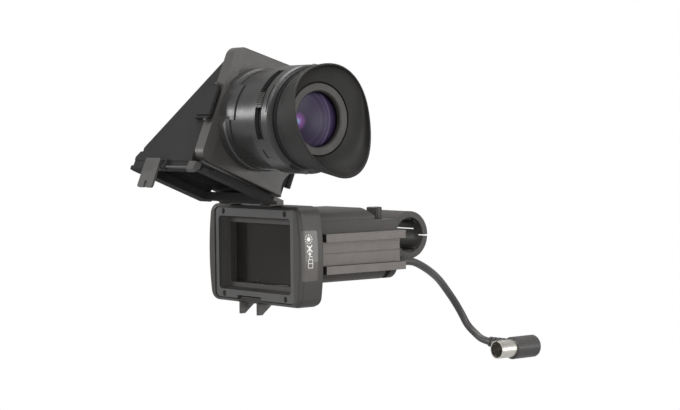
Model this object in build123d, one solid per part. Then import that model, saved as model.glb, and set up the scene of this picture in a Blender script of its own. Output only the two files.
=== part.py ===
from build123d import *
import math
import os

# A camera viewfinder: a liquid crystal display head on a shoe arm, a flip-up mirror hood with an
# eyepiece, a microphone clamp and a short lead with a right-angle plug.
# Millimetres. The origin is the centre of the shoe rail. +X faces the operator, +Y runs along the
# rail away from the display, +Z is up. The hood is drawn closed and then turned up about its pin.

# Shoe rail
rail_length = 73.5
rail_height = 28.6
rail_bar_height = 5.7
rail_channel_depth = 7.0
rail_back = 3.0
rail_groove = 0.8
rail_groove_depth = 1.2

# Arm housing
arm_width = 56.0
arm_front_extra = 4.0
arm_rear_setback = 2.2
arm_bottom = -21.5
arm_ledge = 23.0
arm_deck = 19.0
arm_corner = 11.0
arm_screw_inset = 7.0
arm_screw_z = 12.0
arm_screw_low_inset = 20.0
arm_screw_low_z = -17.0
cover_top = 31.3
cover_inset = 1.0
cover_corner = 7.5
cover_length = 55.0
deck_pad_height = 3.2
cap_length = 5.3
cap_groove = 4.6

# Head
head_x = -47.0
head_z = -0.5
face_setback = 66.75
head_margin_x = 6.0
head_margin_z = 2.5
head_bow = 3.5
head_corner = 8.0
head_edge_round = 3.6
shell_depth = 17.0
rear_cover_depth = 3.4
shell_wall = 2.6
plate_margin_x = 4.2
plate_margin_z = 6.3
plate_inset = 0.7
plate_thickness = 2.2
plate_clearance = 0.2
plate_corner = 4.5
aperture_margin_x = 4.5
aperture_margin_z = 4.7
aperture_corner = 3.0
screen_half_width = 38.8
screen_half_height = 22.0
screen_depth = 13.4
glass_thickness = 1.0
glass_margin = 1.2
module_margin = 4.0
module_thickness = 1.8
board_thickness = 1.0
chip_height = 1.1
cover_pocket_depth = 1.6
cover_pocket_margin_x = 7.5
cover_pocket_margin_z = 7.5
window_depth = 2.4
window_y0 = 1.4
window_y1 = 14.4
window_z0 = -16.5
window_z1 = 18.8
tally_half_height = 5.0
tally_y0 = 5.5
tally_y1 = 12.5
screw_head_radius = 1.7
screw_head_height = 0.7
face_screw_inset_x = 10.5
face_screw_inset_z = 3.0

# Latch fins under the face
fin_x = (-17.0, 4.0)
fin_thickness = 2.0
fin_height = 8.0
fin_length = 14.0
fin_tip = 4.0
keeper_half_extra = 4.0
keeper_thickness = 1.4

# Tilt joint between head and arm
tilt_x = -37.0
tilt_z = 1.0
tilt_shaft_radius = 13.0
tilt_shaft_bore = 8.0
tilt_flange_radius = 17.5
tilt_flange_thickness = 1.6
tilt_bush_wall = 2.5
tilt_bush_length = 10.0
tilt_ring_thickness = 1.5
tilt_ring_radius = 15.2
running_gap = 0.05
body_gap = 0.3

# Hood hinge, relative to the face centre
hinge_y = -5.75
hinge_rise = 4.5
hinge_pin_radius = 1.5
hinge_eye_radius = 3.4
block_x0 = 19.0
block_x1 = 31.0
block_base_y = 4.6
hood_open_angle = 112.5

# Hood frame and mirror box, drawn closed with the hinge pin as origin
hood_face = 5.35
frame_side_inset = 6.9
frame_top = 5.9
frame_foot_inset = 2.0
frame_thickness = 6.0
frame_flange = 2.2
frame_corner = 7.0
box_side_inset = 8.0
box_top = 5.9
box_foot_extra = 0.4
box_wall = 2.0
box_blunt = 7.0
box_blunt_depth = 12.5
box_notch_depth = 4.15
slant_start_depth = 8.4
slant_rise = 7.4
mirror_thickness = 2.5
mirror_side_gap = 0.3

# Eyepiece door, a shallow tray on the open side of the mirror box
door_thickness = 11.0
door_side_inset = 3.6
door_near_depth = 7.4
door_past_slant = 1.1
door_corner = 8.0
door_bevel = 1.0
door_bevel_width = 7.5
door_corner_web = 9.5
door_wall = 2.2
door_relief_depth = 15.65
door_relief_z = 9.6
door_relief_radius = 13.6
door_gap = 0.2
door_hinge_z = 9.3
door_hinge_pin_radius = 1.2
door_knuckle_radius = 2.4
door_knuckle_length = 12.0
door_knuckle_depths = (24.0, 50.0, 76.0)

# Eyepiece
eye_depth = 50.0
eye_drop = 38.5
collar_radius = 35.3
collar_length = 8.0
collar_flat = 31.8
collar_step_length = 4.5
collar_pad_half_arc = 22.0
collar_pad_length = 4.8
barrel_radius = 33.4
barrel_bore = 30.4
barrel_end_x = 81.5
ring_radius = 36.3
ring_bore = 33.3
ring_end_x = 103.0
end_tube_radius = 30.0
end_tube_bore = 27.2
end_tube_x = 108.0
slot_x0 = 87.3
slot_x1 = 94.2
lever_mid = 158.5
lever_span = 17.0
lever_radius = 37.0
lever_ribs = 7
slot_end_gap = 1.0
groove_from = 141.0
groove_to = 172.0
diopter_radius = 33.0
diopter_bore = 27.6
cell_radius = 27.1
cell_x1 = 106.0
lens_radius = 19.6
lens_bulge = 4.6
lens_bulge_out = 2.6
lens_edge = 4.0
lens_edge_gap = 0.6
cell_lip = 1.2
annulus_radius = 24.1
annulus_bore = 18.4
annulus_x1 = 109.7
cup_ring_wall = 3.2
cup_ring_radius = end_tube_radius + cup_ring_wall
cup_ring_length = 6.1
cup_wall = 1.9
cup_rim_x = 126.0
cup_tilt = 18.0
cup_tilt_direction = 228.0
cup_neck_x = 112.5
cup_neck_flare = 1.4
cup_neck_radius = cup_ring_radius + cup_neck_flare
cup_rim_flare = 3.8
cup_rim_radius = cup_neck_radius + cup_rim_flare
cup_neck_tilt = 6.0
diopter_travel = 1.8
diopter_swing = 33.0

# Hood latch at the free edge
latch_rod_radius = 0.9
latch_eye_radius = 2.3
latch_pivot_extra = 2.6
latch_pivot_depth = 0.6
latch_strap = 1.6
latch_lift = 5.8
latch_reach = 15.6
latch_nub = 1.8
latch_nub_y0 = 10.9
latch_nub_y1 = 13.4
latch_hook_x = 42.0
latch_hook_width = 8.0

# Door latch on the tray edge
clip_depth = 48.0
clip_length = 24.0
clip_pivot_x = 38.0
clip_thickness = 2.4
clip_arm_width = 3.0
clip_reach = 14.0
clip_pin_radius = 0.9

# Microphone holder
mic_x1 = -21.0
mic_length = 36.0
mic_y = 58.3
mic_z = 8.8
mic_outer = 17.7
mic_inner = 13.2
mic_grip = 11.6
mic_gap = 1.1
mic_slit_near = 13.0
mic_slit_step_low = 7.9
mic_slit_step_high = 12.4
mic_step_x = -31.0
mic_hinge_y = 40.3
mic_hinge_z = 17.6
mic_pin_radius = 1.1
mic_knuckle_radius = 2.7
mic_knuckle_length = 7.0
mic_pad_half_arc = 46.0

# Lock knob on the deck
knob_x = -25.0
knob_y = 27.8
knob_radius = 5.6
knob_height = 8.2
knob_flutes = 24
knob_stem_radius = 2.0
knob_stem_length = 5.0

# Controls on the far side of the arm
control_radius = 5.0
control_height = 5.5
control_flutes = 18
control_stem_radius = 1.5
control_stem_length = 3.0
control_ys = (-24.0, -8.0, 8.0)
control_z = 7.0
control_panel_thickness = 1.2
control_panel_end = 9.0
control_panel_above = 8.0
control_panel_below = 6.0
switch_ys = (-20.0, -2.0)
switch_z = -9.0
switch_width = 3.0
switch_height = 3.4
switch_proud = 2.4
switch_travel = 1.5

# Lead, gland and plug
cord_diameter = 5.7
gland_x = -14.0
gland_z = -10.0
gland_base_radius = 3.9
gland_rib_radius = 3.8
gland_neck_radius = 3.3
gland_ribs = 4
plug_x = 7.0
plug_z = -80.0
plug_front = 120.0
shell_radius = 6.85
shell_bore = 6.1
plug_shell_length = 15.5
plug_body_radius = 8.5
plug_body_length = 24.0
plug_nub_radius = 3.4
plug_nub_length = 2.6
plug_pins = 7
plug_pin_radius = 0.5
plug_pin_ring = 3.4
plug_pin_length = 3.5
plug_insert_depth = 5.5
boot_y = 141.0
boot_tip_radius = 4.0
boot_root_radius = 5.4
boot_ribs = 5

# Lead route: points chosen by eye, straight out of the gland, down, and into the plug boot
cord_route = [
    (-14.0, 46.0, -10.0),
    (-14.0, 53.7, -10.0),
    (-15.0, 62.2, -12.9),
    (-19.4, 73.7, -17.4),
    (-26.5, 85.8, -21.9),
    (-33.6, 97.2, -26.6),
    (-39.6, 107.7, -32.4),
    (-45.1, 119.6, -41.1),
    (-48.8, 128.8, -48.6),
    (-49.0, 135.9, -58.3),
    (-45.9, 138.7, -66.9),
    (-38.9, 141.2, -73.4),
    (-30.9, 141.0, -77.4),
    (-22.0, 141.0, -78.0),
]

os.makedirs("parts", exist_ok=True)


def save(name, shape):
    export_step(shape, f"parts/{name}.step")


def block(x0, x1, y0, y1, z0, z1):
    return Pos((x0 + x1) / 2, (y0 + y1) / 2, (z0 + z1) / 2) * Box(abs(x1 - x0), abs(y1 - y0), abs(z1 - z0))


def bar(radius, start, end):
    """A round bar from one point to another."""
    a = Vector(*start)
    d = Vector(*end) - a
    plane = Plane(origin=a, z_dir=d.normalized())
    return plane * Cylinder(radius, d.length, align=(Align.CENTER, Align.CENTER, Align.MIN))


def tube(outer, inner, start, end):
    return bar(outer, start, end) - bar(inner, start, end)


def turned(points, y, z):
    """A profile of (x, radius) pairs turned about a line along X through y, z."""
    wire = Polyline([(x, 0, r) for x, r in points], close=True)
    return Pos(0, y, z) * revolve(make_face(wire), Axis.X, 360)


def slab_xz(points, y0, y1):
    """A closed outline of (x, z) points, given thickness from y0 to y1."""
    face = make_face(Polyline([(x, y0, z) for x, z in points], close=True))
    return extrude(face, amount=y1 - y0, dir=(0, 1, 0))


def slab_yz(points, x0, x1):
    """A closed outline of (y, z) points, given thickness from x0 to x1."""
    face = make_face(Polyline([(x0, y, z) for y, z in points], close=True))
    return extrude(face, amount=x1 - x0, dir=(1, 0, 0))


def round_slab(half_x, half_z, radius, y0, y1, z=0.0, x=0.0):
    """A rounded rectangle standing in XZ, from y0 to y1."""
    plane = Plane(origin=(x, y0, z), x_dir=(1, 0, 0), z_dir=(0, -1, 0))
    return extrude(plane * RectangleRounded(2 * half_x, 2 * half_z, radius), amount=y0 - y1)


def fluted(radius, height, count, depth):
    """An upright knob with grooves round its side and a broken top edge."""
    body = Cylinder(radius, height, align=(Align.CENTER, Align.CENTER, Align.MIN))
    body = chamfer(body.edges().group_by(Axis.Z)[-1], 0.5)
    groove = Pos(radius, 0, height / 2) * Rot(0, 0, 45) * Box(1.4 * depth, 1.4 * depth, height + 2)
    return body - [Rot(0, 0, 360 * i / count) * groove for i in range(count)]


# Places worked out from the sizes above
aperture_half_width = screen_half_width + aperture_margin_x
aperture_half_height = screen_half_height + aperture_margin_z
plate_half_width = aperture_half_width + plate_margin_x
plate_half_height = aperture_half_height + plate_margin_z
head_half_width = plate_half_width + head_margin_x
head_half_height = plate_half_height + head_margin_z
face_screw_x = plate_half_width - face_screw_inset_x
face_screw_z = plate_half_height - face_screw_inset_z
hinge_z = head_half_height + hinge_rise
frame_half_width = head_half_width - frame_side_inset
frame_bottom = hinge_z + head_half_height - frame_foot_inset
box_left = frame_half_width - box_side_inset
box_bottom = frame_bottom + box_foot_extra
door_x1 = frame_half_width - door_side_inset
door_x0 = door_x1 - door_thickness
door_depth_bottom = slant_start_depth + box_left + door_x1 + door_past_slant
door_depth_top = door_depth_bottom + slant_rise
slot_from = lever_mid - lever_span / 2 - diopter_swing - slot_end_gap
slot_to = lever_mid + lever_span / 2 + diopter_swing + slot_end_gap
cell_x0 = slot_x1 + diopter_travel + 0.2
cell_seat_x = cell_x1 - cell_lip - 2 * lens_edge_gap - lens_edge
cup_base_x = ring_end_x + body_gap
cup_ring_end_x = cup_base_x + cup_ring_length
rail_half = rail_length / 2
channel_half = rail_height / 2 - rail_bar_height
arm_x1 = -rail_channel_depth
arm_x0 = arm_x1 - arm_width
arm_y0 = -rail_half - arm_front_extra
arm_y1 = rail_half - arm_rear_setback
face_y = -face_setback
at_head = Pos(head_x, face_y, head_z)
at_hinge = Pos(head_x, face_y + hinge_y, head_z + hinge_z)
at_hood = at_hinge * Rot(-hood_open_angle, 0, 0)
head_back = shell_depth + rear_cover_depth
eye_y = hood_face - eye_depth
eye_z = -eye_drop


def depth(d):
    """The Y of a point d in front of the hood's face, with the hood closed."""
    return hood_face - d


# Shoe rail: two proud bars with a grooved channel between them
def shoe_rail():
    half = rail_height / 2
    rail = block(-rail_channel_depth - rail_back, 0, -rail_half, rail_half, -half, half)
    rail -= block(-rail_channel_depth, 1, -rail_half - 1, rail_half + 1, -channel_half, channel_half)
    rail -= block(-rail_channel_depth - rail_groove_depth, 1, -rail_half - 1, rail_half + 1,
                  -rail_groove / 2, rail_groove / 2)
    return rail


rail_seat = block(-rail_channel_depth - rail_back, 5, arm_y0 - 1, arm_y1 + 5, -rail_height / 2, rail_height / 2)


# Arm housing with a rounded belly, a seat for the rail and a bore for the tilt joint
def arm_housing():
    body = block(arm_x0, arm_x1, arm_y0, arm_y1, arm_bottom, arm_ledge)
    body = fillet(body.edges().filter_by(Axis.Y).group_by(Axis.Z)[0], arm_corner)
    body = fillet(body.faces().sort_by(Axis.Y)[0].edges(), 1.0)
    cover_end = arm_y0 + cover_length
    body -= block(arm_x0 - 1, arm_x1 + 1, cover_end, arm_y1 + 1, arm_deck + deck_pad_height, arm_ledge + 1)
    body -= rail_seat
    groove_y1 = arm_y1 - cap_length
    body -= block(arm_x1 - 12, arm_x1 + 1, groove_y1 - cap_groove, groove_y1, arm_bottom - 1, -rail_height / 2)
    body -= bar(tilt_shaft_radius + tilt_bush_wall, (tilt_x, arm_y0 - 1, tilt_z),
                (tilt_x, arm_y0 + tilt_bush_length, tilt_z))
    body -= bar(tilt_ring_radius + body_gap, (tilt_x, arm_y0 + tilt_bush_length - 0.1, tilt_z),
                (tilt_x, arm_y0 + tilt_bush_length + tilt_ring_thickness + 3.5, tilt_z))
    body -= bar(knob_stem_radius + running_gap, (knob_x, knob_y, arm_deck + deck_pad_height + 1),
                (knob_x, knob_y, arm_deck + deck_pad_height - knob_stem_length - 0.5))
    for y in control_ys:
        body -= bar(control_stem_radius + running_gap, (arm_x0 - 1, y, control_z),
                    (arm_x0 + control_stem_length, y, control_z))
    for y in switch_ys:
        half = switch_width / 2 + switch_travel + body_gap
        body -= block(arm_x0 - 1, arm_x0 + 2.5, y - half, y + half,
                      switch_z - switch_height / 2 - body_gap, switch_z + switch_height / 2 + body_gap)
    return body


# Top cover: a crowned lid over the front of the arm that slopes down to the deck
def arm_cover():
    y1 = arm_y0 + cover_length
    body = block(arm_x0 + cover_inset, arm_x1 - cover_inset, arm_y0, y1, arm_ledge, cover_top)
    body = fillet(body.edges().filter_by(Axis.Y).group_by(Axis.Z)[-1], cover_corner)
    slope = slab_yz([(y1 - 8, cover_top + 1), (y1 - 8, cover_top), (y1 + 1, arm_ledge + 1.5),
                     (y1 + 1, cover_top + 1)], arm_x0 - 1, arm_x1 + 1)
    return body - slope


def control_panel():
    """A thin plate on the far side of the arm with holes for the knobs and switches."""
    ys = control_ys + switch_ys
    plate = block(arm_x0 - control_panel_thickness, arm_x0, min(ys) - control_panel_end,
                  max(ys) + control_panel_end, switch_z - control_panel_below, control_z + control_panel_above)
    plate = fillet(plate.edges().filter_by(Axis.X), 3.0)
    for y in control_ys:
        plate -= bar(control_stem_radius + running_gap, (arm_x0 - 3, y, control_z), (arm_x0 + 1, y, control_z))
    for y in switch_ys:
        half = switch_width / 2 + switch_travel + body_gap
        plate -= block(arm_x0 - 3, arm_x0 + 1, y - half, y + half,
                       switch_z - switch_height / 2 - body_gap, switch_z + switch_height / 2 + body_gap)
    return plate


def control_knob(y):
    head = fluted(control_radius, control_height, control_flutes, 0.45)
    stem = Pos(0, 0, -control_panel_thickness - control_stem_length + 0.3) * Cylinder(
        control_stem_radius, control_panel_thickness + control_stem_length,
        align=(Align.CENTER, Align.CENTER, Align.MIN))
    mark = block(-0.35, 0.35, 1.2, control_radius, control_height - 0.4, control_height + 1)
    place = Pos(arm_x0 - control_panel_thickness - body_gap, y, control_z) * Rot(0, -90, 0)
    return place * (head + stem - mark)


def side_switch(y):
    x0 = arm_x0 - control_panel_thickness - switch_proud
    half = switch_width / 2
    lever = block(x0, arm_x0 + 2.2, y - half, y + half,
                  switch_z - switch_height / 2, switch_z + switch_height / 2)
    return fillet(lever.edges().filter_by(Axis.Z).group_by(Axis.X)[0], 0.6)


def deck_knob():
    head = fluted(knob_radius, knob_height, knob_flutes, 0.45)
    stem = Pos(0, 0, -knob_stem_length) * Cylinder(
        knob_stem_radius, knob_stem_length + 0.1, align=(Align.CENTER, Align.CENTER, Align.MIN))
    return Pos(knob_x, knob_y, arm_deck + deck_pad_height + body_gap) * (head + stem)


# Screws that hold the end of the arm
def arm_screws():
    side = arm_x0 + arm_screw_inset
    spots = [(side, arm_screw_z), (side, -arm_screw_z), (arm_x1 - arm_screw_low_inset, arm_screw_low_z)]
    heads = [bar(screw_head_radius, (x, arm_y1, z), (x, arm_y1 + screw_head_height, z)) for x, z in spots]
    return Compound(heads)


# Tilt joint
bush_outer = tilt_shaft_radius + tilt_bush_wall


def tilt_bush():
    return tube(bush_outer, tilt_shaft_radius + running_gap, (tilt_x, arm_y0, tilt_z),
                (tilt_x, arm_y0 + tilt_bush_length, tilt_z))


def tilt_shaft():
    """A hollow neck with a flange that runs in the bush and is held by a ring behind it."""
    back = face_y + head_back
    flange = bar(tilt_flange_radius, (tilt_x, back, tilt_z), (tilt_x, back + tilt_flange_thickness, tilt_z))
    shaft_end = arm_y0 + tilt_bush_length + tilt_ring_thickness + 1.2
    shaft = bar(tilt_shaft_radius, (tilt_x, back, tilt_z), (tilt_x, shaft_end, tilt_z))
    hollow = bar(tilt_shaft_bore, (tilt_x, back - 1, tilt_z), (tilt_x, shaft_end + 1, tilt_z))
    groove_y = arm_y0 + tilt_bush_length + 0.2
    groove = tube(tilt_shaft_radius + 1, tilt_shaft_radius - 1.0, (tilt_x, groove_y, tilt_z),
                  (tilt_x, groove_y + tilt_ring_thickness, tilt_z))
    return flange + shaft - hollow - groove


def tilt_ring():
    y = arm_y0 + tilt_bush_length + 0.2
    ring = tube(tilt_ring_radius, tilt_shaft_radius - 1.0, (tilt_x, y, tilt_z), (tilt_x, y + tilt_ring_thickness, tilt_z))
    gap = block(tilt_x - 2, tilt_x + 2, y - 1, y + 3, tilt_z - tilt_ring_radius - 1, tilt_z)
    return ring - gap


# Head outline: flat top and bottom, bowed sides, rounded corners
def head_outline(inset, y0, y1, corner):
    w = head_half_width - inset
    h = head_half_height - inset
    bow = w + head_bow
    plane = Plane(origin=(0, y0, 0), x_dir=(1, 0, 0), z_dir=(0, -1, 0))
    with BuildSketch(plane) as sketch:
        with BuildLine():
            Line((-w, h), (w, h))
            ThreePointArc((w, h), (bow, 0), (w, -h))
            Line((w, -h), (-w, -h))
            ThreePointArc((-w, -h), (-bow, 0), (-w, h))
        make_face()
        fillet(sketch.vertices(), corner)
    return extrude(sketch.sketch, amount=y0 - y1)


def front_rounded(solid, y, radius):
    return fillet(solid.faces().sort_by(Axis.Y)[0].edges(), radius)


outer_shell = front_rounded(head_outline(0, 0, shell_depth, head_corner), 0, head_edge_round)
window_x = head_half_width + head_bow - window_depth - 1.2
window_cut = block(window_x, 70, window_y0, window_y1, window_z0, window_z1)
window_cut = fillet(window_cut.edges().filter_by(Axis.X), 1.2)
tally_cut = block(-70, -window_x, tally_y0, tally_y1, -tally_half_height, tally_half_height)
notch_x0 = fin_x[0] - keeper_half_extra
notch_x1 = fin_x[1] + keeper_half_extra
latch_x = (fin_x[0] + fin_x[1]) / 2
latch_width = fin_x[1] - fin_x[0] - fin_thickness - 2 * body_gap


def head_shell():
    pocket = round_slab(plate_half_width + plate_clearance, plate_half_height + plate_clearance,
                        plate_corner + plate_clearance, -1, plate_inset + plate_thickness)
    cavity = head_outline(shell_wall + 1.5, plate_inset + plate_thickness - 0.01, shell_depth + 1, head_corner - 2.5)
    notch = block(notch_x0, notch_x1, -1, fin_length + 1.2, -head_half_height - 1,
                  -head_half_height + keeper_thickness)
    shell = outer_shell - pocket - cavity - notch
    return at_head * (shell - window_cut - tally_cut)


def indicator_window():
    """A clear strip let into the operator's side of the head."""
    thin = outer_shell & window_cut
    return at_head * thin


def tally_lens():
    return at_head * (outer_shell & tally_cut)


def rear_cover():
    cover = head_outline(0.6, shell_depth, head_back, head_corner - 0.6)
    cover = fillet(cover.faces().sort_by(Axis.Y)[-1].edges(), 1.6)
    pocket = round_slab(head_half_width - cover_pocket_margin_x, head_half_height - cover_pocket_margin_z, 3,
                        shell_depth - 1, shell_depth + cover_pocket_depth)
    wires = bar(tilt_shaft_bore, (tilt_x - head_x, shell_depth - 1, tilt_z - head_z),
                (tilt_x - head_x, head_back + 1, tilt_z - head_z))
    return at_head * (cover - pocket - wires)


plate_front = plate_inset
plate_back = plate_inset + plate_thickness


def face_plate():
    plate = round_slab(plate_half_width, plate_half_height, plate_corner, plate_front, plate_back)
    plate = chamfer(plate.faces().sort_by(Axis.Y)[0].edges(), 0.4)
    plate -= round_slab(aperture_half_width, aperture_half_height, aperture_corner, -1, plate_back + 1)
    plate -= block(notch_x0, notch_x1, -1, plate_back + 1, -plate_half_height - 1, -plate_half_height + 2.6)
    for x in (-face_screw_x, face_screw_x):
        for z in (-face_screw_z, face_screw_z):
            plate -= bar(screw_head_radius + 0.4, (x, plate_front - 1, z), (x, plate_front + 1.0, z))
    return at_head * plate


def face_screws():
    heads = []
    for x in (-face_screw_x, face_screw_x):
        for z in (-face_screw_z, face_screw_z):
            head = bar(screw_head_radius, (x, plate_front + 0.3, z), (x, plate_front + 1.0, z))
            heads.append(at_head * (head - block(x - 0.3, x + 0.3, 0, plate_front + 0.6, z - 2, z + 2)))
    return Compound(heads)


def screen_bezel():
    """The stepped funnel between the face plate and the screen."""
    step = 8.0
    frame = round_slab(aperture_half_width + 2.4, aperture_half_height + 2.4, 3.0, plate_back, screen_depth)
    mouth = Plane(origin=(0, plate_back, 0), x_dir=(1, 0, 0), z_dir=(0, -1, 0))
    throat = Plane(origin=(0, step, 0), x_dir=(1, 0, 0), z_dir=(0, -1, 0))
    wide = mouth * RectangleRounded(2 * aperture_half_width, 2 * aperture_half_height, aperture_corner)
    narrow = throat * RectangleRounded(2 * aperture_half_width - 3, 2 * aperture_half_height - 3, 2.5)
    funnel = loft([wide, narrow])
    opening = round_slab(screen_half_width, screen_half_height, 1.0, step - 0.5, screen_depth + 1)
    return at_head * (frame - funnel - opening)


def screen_glass():
    return at_head * block(-screen_half_width - glass_margin, screen_half_width + glass_margin, screen_depth,
                           screen_depth + glass_thickness, -screen_half_height - glass_margin,
                           screen_half_height + glass_margin)


module_front = screen_depth + glass_thickness
module_back = module_front + module_thickness


def display_module():
    panel = block(-screen_half_width - module_margin, screen_half_width + module_margin, module_front,
                  module_back, -screen_half_height - module_margin, screen_half_height + module_margin)
    return at_head * fillet(panel.edges().filter_by(Axis.Y), 1.0)


def driver_board():
    board = block(-screen_half_width, screen_half_width, module_back, module_back + board_thickness,
                  -screen_half_height, screen_half_height)
    chips = [block(x - 6, x + 6, module_back + board_thickness - 0.01, module_back + board_thickness + chip_height,
                   z - 5, z + 5) for x, z in ((-18, 6), (6, -8), (24, 8))]
    return at_head * (board + chips)


def latch_keeper():
    """Two triangular fins on a small plate, with a nub between them that the hood's latch strap takes."""
    base = block(notch_x0 + 0.2, notch_x1 - 0.2, plate_back, fin_length + 1.0, -head_half_height,
                 -head_half_height + keeper_thickness)
    fins = [slab_yz([(0.2, -head_half_height + 0.6), (0.2, -head_half_height - fin_height),
                     (fin_tip, -head_half_height - fin_height), (fin_length, -head_half_height),
                     (fin_length, -head_half_height + 0.6)], x - fin_thickness / 2, x + fin_thickness / 2)
            for x in fin_x]
    nub = block(latch_x - latch_nub / 2, latch_x + latch_nub / 2, latch_nub_y0, latch_nub_y1,
                -head_half_height - latch_pivot_extra - latch_strap, -head_half_height + 0.6)
    return at_head * (base + fins + nub)


def hinge_blocks():
    """A pair of eyes that stand on the head's top edge and carry the hood pin."""
    rise = math.radians(hood_open_angle - 90)
    vy, vz = math.sin(rise), math.cos(rise)
    top = (hinge_y + hinge_eye_radius * vy, hinge_z + hinge_eye_radius * vz)
    foot = head_half_height
    under = head_half_height + 0.4
    slope_z = top[1] - (block_base_y - top[0]) * vy / vz
    side = [(hinge_y - 1.5, under), (hinge_y, hinge_z), top, (block_base_y, slope_z), (block_base_y, foot),
            (head_edge_round, foot), (head_edge_round - 0.5, under)]
    eyes = []
    for sign in (-1, 1):
        x0, x1 = sorted((sign * block_x0, sign * block_x1))
        eye = slab_yz(side, x0, x1) + bar(hinge_eye_radius, (x0, hinge_y, hinge_z), (x1, hinge_y, hinge_z))
        eye -= bar(hinge_pin_radius + 0.01, (x0 - 1, hinge_y, hinge_z), (x1 + 1, hinge_y, hinge_z))
        eyes.append(at_head * eye)
    return Compound(eyes)


def hood_pin():
    return at_head * bar(hinge_pin_radius, (-block_x1, hinge_y, hinge_z), (block_x1, hinge_y, hinge_z))


# Hood: everything below is drawn closed about the hinge pin and turned up by at_hood
knuckle_half = block_x0 - body_gap


def hood_frame():
    body = block(-frame_half_width, frame_half_width, depth(frame_flange), depth(0), -frame_bottom, -frame_top)
    body = fillet(body.edges().filter_by(Axis.Y).group_by(Axis.Z)[0], frame_corner)
    body += block(-box_left, door_x1 - 1.5, depth(frame_thickness), depth(0), -frame_bottom, -frame_top)
    body -= block(-box_left + 4, door_x0 + 4, depth(frame_thickness + 1), depth(-1), -frame_bottom + 5, -frame_top - 5)
    for sign in (-1, 1):
        x0, x1 = sorted((sign * (block_x0 - 1), sign * (block_x1 + 1)))
        body -= block(x0, x1, depth(frame_thickness + 1), depth(-1), -frame_top - 2.2, -frame_top + 1)
    web = block(-knuckle_half, knuckle_half, -0.65, 3.0, -frame_top - 1, 0)
    barrel = bar(hinge_eye_radius, (-knuckle_half, 0, 0), (knuckle_half, 0, 0))
    body += web + barrel
    body -= bar(hinge_pin_radius + running_gap, (-knuckle_half - 1, 0, 0), (knuckle_half + 1, 0, 0))
    return at_hood * body


slant_tilt = slant_rise / (box_bottom + box_top)


def beyond_slant(offset):
    """Everything past the sloping mirror wall, which leans deeper towards the hinge."""
    normal = Vector(-1, -1, -slant_tilt).normalized()
    origin = Vector(-box_left, depth(slant_start_depth), -box_bottom) + normal * offset
    plane = Plane(origin=origin, x_dir=Vector(1, -1, 0), z_dir=normal)
    return plane * Box(500, 500, 200, align=(Align.CENTER, Align.CENTER, Align.MIN))


def mirror_box():
    """A wedge-shaped shell: open to the frame, open to the door, the mirror on its slant."""
    far = 120.0
    outer = block(-box_left, door_x0 - door_gap, depth(far), depth(frame_thickness), -box_bottom, box_top)
    outer -= beyond_slant(0)
    outer -= block(-box_left - 1, -box_left + box_blunt, depth(far), depth(box_blunt_depth), -box_bottom - 1,
                   box_top + 1)
    inner = block(-box_left + box_wall, door_x0 + 10, depth(far), depth(frame_thickness - 5),
                  -box_bottom + box_wall, box_top - box_wall)
    inner -= beyond_slant(-box_wall)
    inner -= block(-box_left - 1, -box_left + box_blunt + box_wall, depth(far), depth(box_blunt_depth - box_wall),
                   -box_bottom - 1, box_top + 1)
    shell = outer - inner
    hinge_room = block(-box_left - 1, door_x0 + 1, -box_notch_depth, depth(0), -frame_top, box_top + 1)
    floor = block(-box_left + box_wall, door_x0 - door_gap, -box_notch_depth - box_wall, -box_notch_depth,
                  -frame_top, box_top - 0.5)
    shell = shell - hinge_room + floor
    shell += block(-box_left, -box_left + box_blunt + box_wall + 0.5, depth(box_blunt_depth), -box_notch_depth,
                   -frame_top - box_wall, box_top)
    web_y = depth(frame_thickness)
    shell += slab_yz([(web_y, -box_bottom), (web_y - door_corner_web, -box_bottom),
                      (web_y, -box_bottom + door_corner_web)], door_x0 - door_gap - box_wall, door_x0 - door_gap)
    for d in (door_knuckle_depths[0], door_knuckle_depths[2]):
        shell += knuckle(d)
    for y in clip_arm_ys:
        shell += block(clip_hook_x + body_gap, clip_hook_x + body_gap + 2.0, y, y + clip_arm_width,
                       -box_bottom - 1.3, -box_bottom)
    return at_hood * shell


def mirror():
    glass = block(-box_left + box_wall + 9, door_x0 - 2, depth(120), depth(frame_thickness + 1),
                  -box_bottom + box_wall + mirror_side_gap, box_top - box_wall - mirror_side_gap)
    return at_hood * (glass - beyond_slant(-box_wall) & beyond_slant(-box_wall - mirror_thickness))


# Door latch places, used by the box, the door and the clip
clip_z = -box_bottom - clip_thickness
clip_y0 = depth(clip_depth + clip_length / 2)
clip_y1 = depth(clip_depth - clip_length / 2)
clip_arm_ys = (clip_y0, clip_y1 - clip_arm_width)
clip_hook_x = clip_pivot_x - clip_reach + 2.0


# Door hinge on the far edge of the tray
door_hinge_x = door_x0 - 1.0


def knuckle(d, extra=0.0):
    """One hinge knuckle with an arm down to the wall beside it."""
    y0 = depth(d + door_knuckle_length / 2 - extra)
    y1 = depth(d - door_knuckle_length / 2 + extra)
    eye = bar(door_knuckle_radius, (door_hinge_x, y0, door_hinge_z), (door_hinge_x, y1, door_hinge_z))
    arm = block(door_hinge_x - door_knuckle_radius, door_hinge_x + 0.6, y0, y1, box_top - 0.5, door_hinge_z)
    return eye + arm - bar(door_hinge_pin_radius + 0.01, (door_hinge_x, y0 - 1, door_hinge_z),
                           (door_hinge_x, y1 + 1, door_hinge_z))


def door_pin():
    reach = door_knuckle_length / 2
    y0 = depth(door_knuckle_depths[2] + reach)
    y1 = depth(door_knuckle_depths[0] - reach)
    return at_hood * bar(door_hinge_pin_radius, (door_hinge_x, y0, door_hinge_z), (door_hinge_x, y1, door_hinge_z))


def tray_outline(inset, x0, x1, corner):
    near = depth(door_near_depth) - inset
    points = [(near, -box_bottom + inset), (depth(door_depth_bottom) + inset, -box_bottom + inset),
              (depth(door_depth_top) + inset, box_top - inset), (near, box_top - inset)]
    tray = slab_yz(points, x0, x1)
    return fillet(tray.edges().filter_by(Axis.X), corner)


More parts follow.
